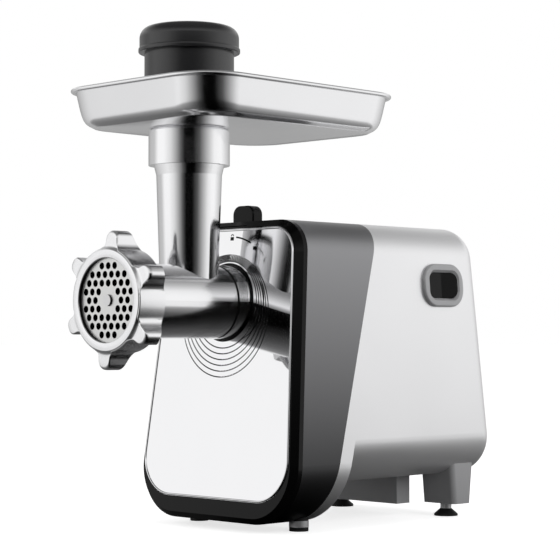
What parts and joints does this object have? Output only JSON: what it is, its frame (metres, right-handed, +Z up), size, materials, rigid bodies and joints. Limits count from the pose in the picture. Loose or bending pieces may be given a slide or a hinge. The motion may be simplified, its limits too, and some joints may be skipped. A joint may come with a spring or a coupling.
{
  "type": "electric meat grinder",
  "caption": "Tabletop electric meat grinder: leaning casing with motor and gear train, twist-in head with auger, knife, cutting plate and ring nut, tray and pusher on the feed tube.",
  "frame": {"origin": "centre of the part's box, on the surface it stands on", "axes": "+Z up, the ring nut faces -Y, the power switch is on the +X side"},
  "size_m": [0.166, 0.3324, 0.364],
  "materials": {
    "mirror_plate": "mirror-polished steel sheet",
    "black_gloss": "gloss black moulding",
    "charcoal_band": "satin charcoal moulding",
    "silver_body": "satin silver lacquer",
    "black_rubber": "soft matte",
    "black_plastic": "fine-grained moulding",
    "grey_plastic": "satin moulding",
    "polished_casting": "polished casting",
    "tray_steel": "polished pressed sheet",
    "cutter_steel": "ground steel",
    "dark_steel": "oiled black steel",
    "auger_casting": "tumbled casting",
    "pusher_plastic": "satin moulding",
    "gear_nylon": "moulded nylon",
    "gear_steel": "sintered steel",
    "bright_steel": "ground steel",
    "bronze": "sintered bronze",
    "zinc_casting": "die casting",
    "laminations": "stacked sheet",
    "copper": "enamelled wire",
    "carbon": "pressed carbon"
  },
  "bodies": {
    "casing": {"front_plate": "mirror_plate", "front_bezel": "black_gloss", "front_housing": "charcoal_band", "rear_housing": "silver_body", "cord_inlet": "black_plastic", "front_foot_left": "black_rubber", "front_foot_right": "black_rubber", "rear_leg_left": "grey_plastic", "rear_leg_right": "grey_plastic", "suction_cup_left": "black_rubber", "suction_cup_right": "black_rubber", "base_beam": "grey_plastic", "switch_bezel": "grey_plastic", "switch_body": "black_plastic", "lock_spring": "bright_steel", "head_socket": "black_plastic", "first_axle": "bright_steel", "second_axle": "bright_steel", "front_bush": "bronze", "rear_bush": "bronze", "gearbox_case": "zinc_casting", "gearbox_cover": "zinc_casting", "cover_screws": "bright_steel", "socket_screws": "bright_steel", "front_bearing": "bronze", "rear_bearing": "bronze", "stator_core": "laminations", "field_coil_upper": "copper", "field_coil_lower": "copper", "motor_bracket": "zinc_casting", "carbon_brush_left": "carbon", "carbon_brush_right": "carbon", "brush_holder_left": "bronze", "brush_holder_right": "bronze", "motor_bolts": "bright_steel", "motor_pad": "black_rubber"},
    "head": {"grinder_head": "polished_casting", "auger_bush": "gear_nylon", "cutting_plate": "cutter_steel"},
    "nut": {"ring_nut": "polished_casting"},
    "tray": {"tray": "tray_steel"},
    "pusher": {"pusher_body": "pusher_plastic", "pusher_cap": "pusher_plastic"},
    "lock": {"lock_button": "black_plastic", "lock_latch": "bright_steel"},
    "rocker": {"switch_rocker": "black_plastic"},
    "rotor": {"rotor_shaft": "bright_steel", "rotor_core": "laminations", "commutator": "copper", "motor_fan": "black_plastic", "motor_pinion": "gear_steel"},
    "first_stage": {"first_gear": "gear_nylon", "first_pinion": "gear_steel"},
    "second_stage": {"second_gear": "gear_nylon", "second_pinion": "gear_steel"},
    "drive": {"drive_shaft": "bright_steel", "output_gear": "gear_steel", "auger": "auger_casting", "knife": "dark_steel"}
  },
  "joints": [
    {"name": "head_twist", "type": "hinge", "parent": "casing", "child": "head", "pos_m": [0, -0.1, 0.165], "axis": [0, 1, 0], "range_deg": [0, 40]},
    {"name": "nut_turn", "type": "hinge", "parent": "head", "child": "nut", "pos_m": [0, -0.154, 0.165], "axis": [0, 1, 0], "continuous": true},
    {"name": "tray_lift", "type": "slide", "parent": "head", "child": "tray", "axis": [0, 0, 1], "range_m": [0, 0.12]},
    {"name": "pusher_slide", "type": "slide", "parent": "tray", "child": "pusher", "axis": [0, 0, 1], "range_m": [0, 0.15]},
    {"name": "lock_press", "type": "slide", "parent": "casing", "child": "lock", "axis": [0, 0, -1], "range_m": [0, 0.0035], "stiffness_N_per_m": 600, "springref_m": -0.002, "deforming": ["lock_spring"]},
    {"name": "switch_rock", "type": "hinge", "parent": "casing", "child": "rocker", "pos_m": [0.06899, 0.10767, 0.17872], "axis": [-0.0698, 0, 0.9976], "range_deg": [0, 16]},
    {"name": "motor_spin", "type": "hinge", "parent": "casing", "child": "rotor", "pos_m": [-0.0004, 0, 0.07814], "axis": [0, 1, 0], "continuous": true},
    {"name": "first_spin", "type": "hinge", "parent": "casing", "child": "first_stage", "pos_m": [-0.01025, 0, 0.1052], "axis": [0, 1, 0], "continuous": true},
    {"name": "second_spin", "type": "hinge", "parent": "casing", "child": "second_stage", "pos_m": [-0.03011, 0, 0.13156], "axis": [0, 1, 0], "continuous": true},
    {"name": "drive_spin", "type": "hinge", "parent": "casing", "child": "drive", "pos_m": [0, 0, 0.165], "axis": [0, 1, 0], "continuous": true}
  ],
  "couplings": [
    {"joint": "first_spin", "follows": "motor_spin", "ratio": -0.2},
    {"joint": "second_spin", "follows": "motor_spin", "ratio": 0.044444},
    {"joint": "drive_spin", "follows": "motor_spin", "ratio": -0.011111}
  ]
}
